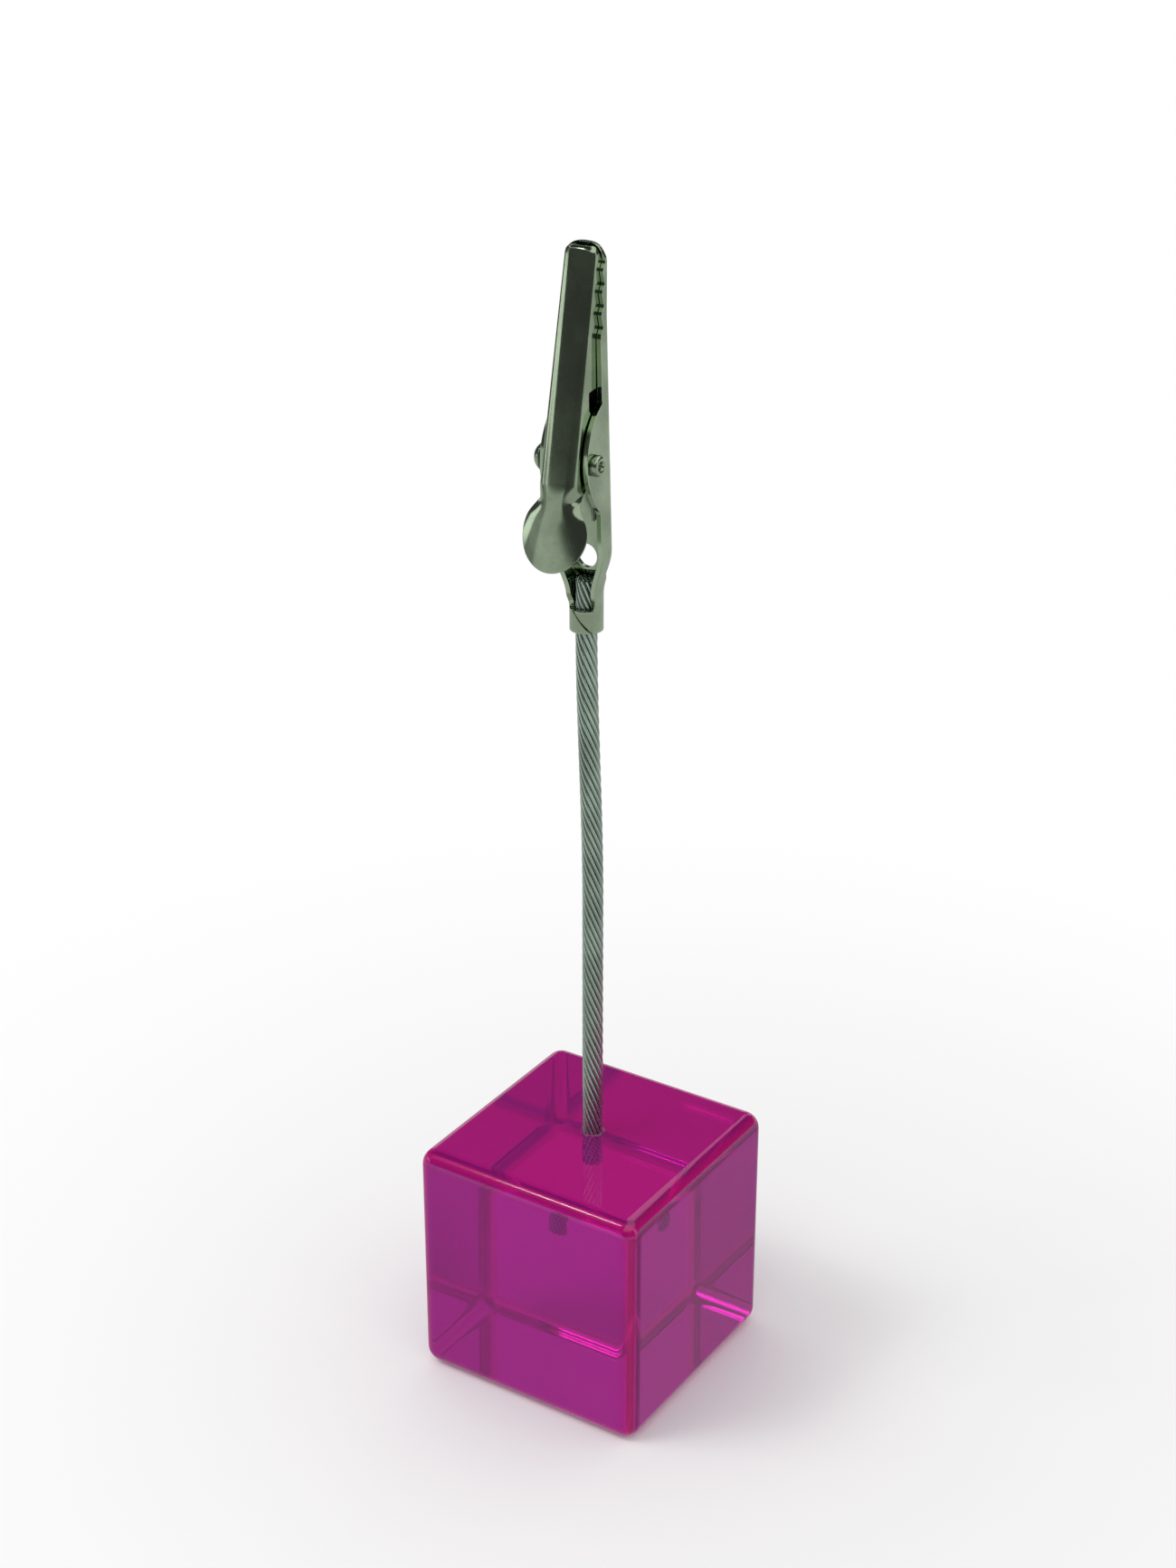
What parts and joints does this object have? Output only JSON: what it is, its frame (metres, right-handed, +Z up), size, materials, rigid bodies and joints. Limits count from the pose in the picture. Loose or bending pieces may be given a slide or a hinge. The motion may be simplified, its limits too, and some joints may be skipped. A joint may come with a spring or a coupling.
{
  "type": "memo clip",
  "caption": "Desk memo holder: a translucent acrylic cube with a springy stem of stranded wire that carries a sprung alligator clip for a note or card.",
  "frame": {"origin": "middle of the cube's underside, on the surface that the object stands on", "axes": "+Z up along the stem, -Y towards the thumb paddle, +X along the rivet towards its clenched end"},
  "size_m": [0.025, 0.025, 0.1134],
  "materials": {
    "acrylic": "polished translucent magenta acrylic",
    "glue": "clear set glue",
    "strand_steel": "bright drawn wire",
    "clip_plate": "satin nickel plate",
    "spring_wire": "plain spring wire"
  },
  "bodies": {
    "base": {"base_cube": "acrylic", "glue_sleeve": "glue"},
    "clip": {"core_wire": "strand_steel", "inner_wire_1": "strand_steel", "inner_wire_2": "strand_steel", "inner_wire_3": "strand_steel", "inner_wire_4": "strand_steel", "inner_wire_5": "strand_steel", "inner_wire_6": "strand_steel", "outer_wire_01": "strand_steel", "outer_wire_02": "strand_steel", "outer_wire_03": "strand_steel", "outer_wire_04": "strand_steel", "outer_wire_05": "strand_steel", "outer_wire_06": "strand_steel", "outer_wire_07": "strand_steel", "outer_wire_08": "strand_steel", "outer_wire_09": "strand_steel", "outer_wire_10": "strand_steel", "outer_wire_11": "strand_steel", "outer_wire_12": "strand_steel", "fixed_jaw": "clip_plate", "pivot_rivet": "clip_plate", "torsion_spring": "spring_wire"},
    "jaw": {"moving_jaw": "clip_plate"}
  },
  "joints": [
    {"name": "stem_bend", "type": "hinge", "parent": "base", "child": "clip", "pos_m": [0, 0, 0.025], "axis": [1, 0, 0], "range_deg": [-20, 20], "stiffness_Nm_per_rad": 0.2, "deforming": ["core_wire", "inner_wire_1", "inner_wire_2", "inner_wire_3", "inner_wire_4", "inner_wire_5", "inner_wire_6", "outer_wire_01", "outer_wire_02", "outer_wire_03", "outer_wire_04", "outer_wire_05", "outer_wire_06", "outer_wire_07", "outer_wire_08", "outer_wire_09", "outer_wire_10", "outer_wire_11", "outer_wire_12"]},
    {"name": "jaw_open", "type": "hinge", "parent": "clip", "child": "jaw", "pos_m": [-0.0007, -0.0025, 0.0946], "axis": [1, 0, 0], "range_deg": [0, 23], "stiffness_Nm_per_rad": 0.005, "springref_deg": -11.46, "deforming": ["torsion_spring"]}
  ]
}
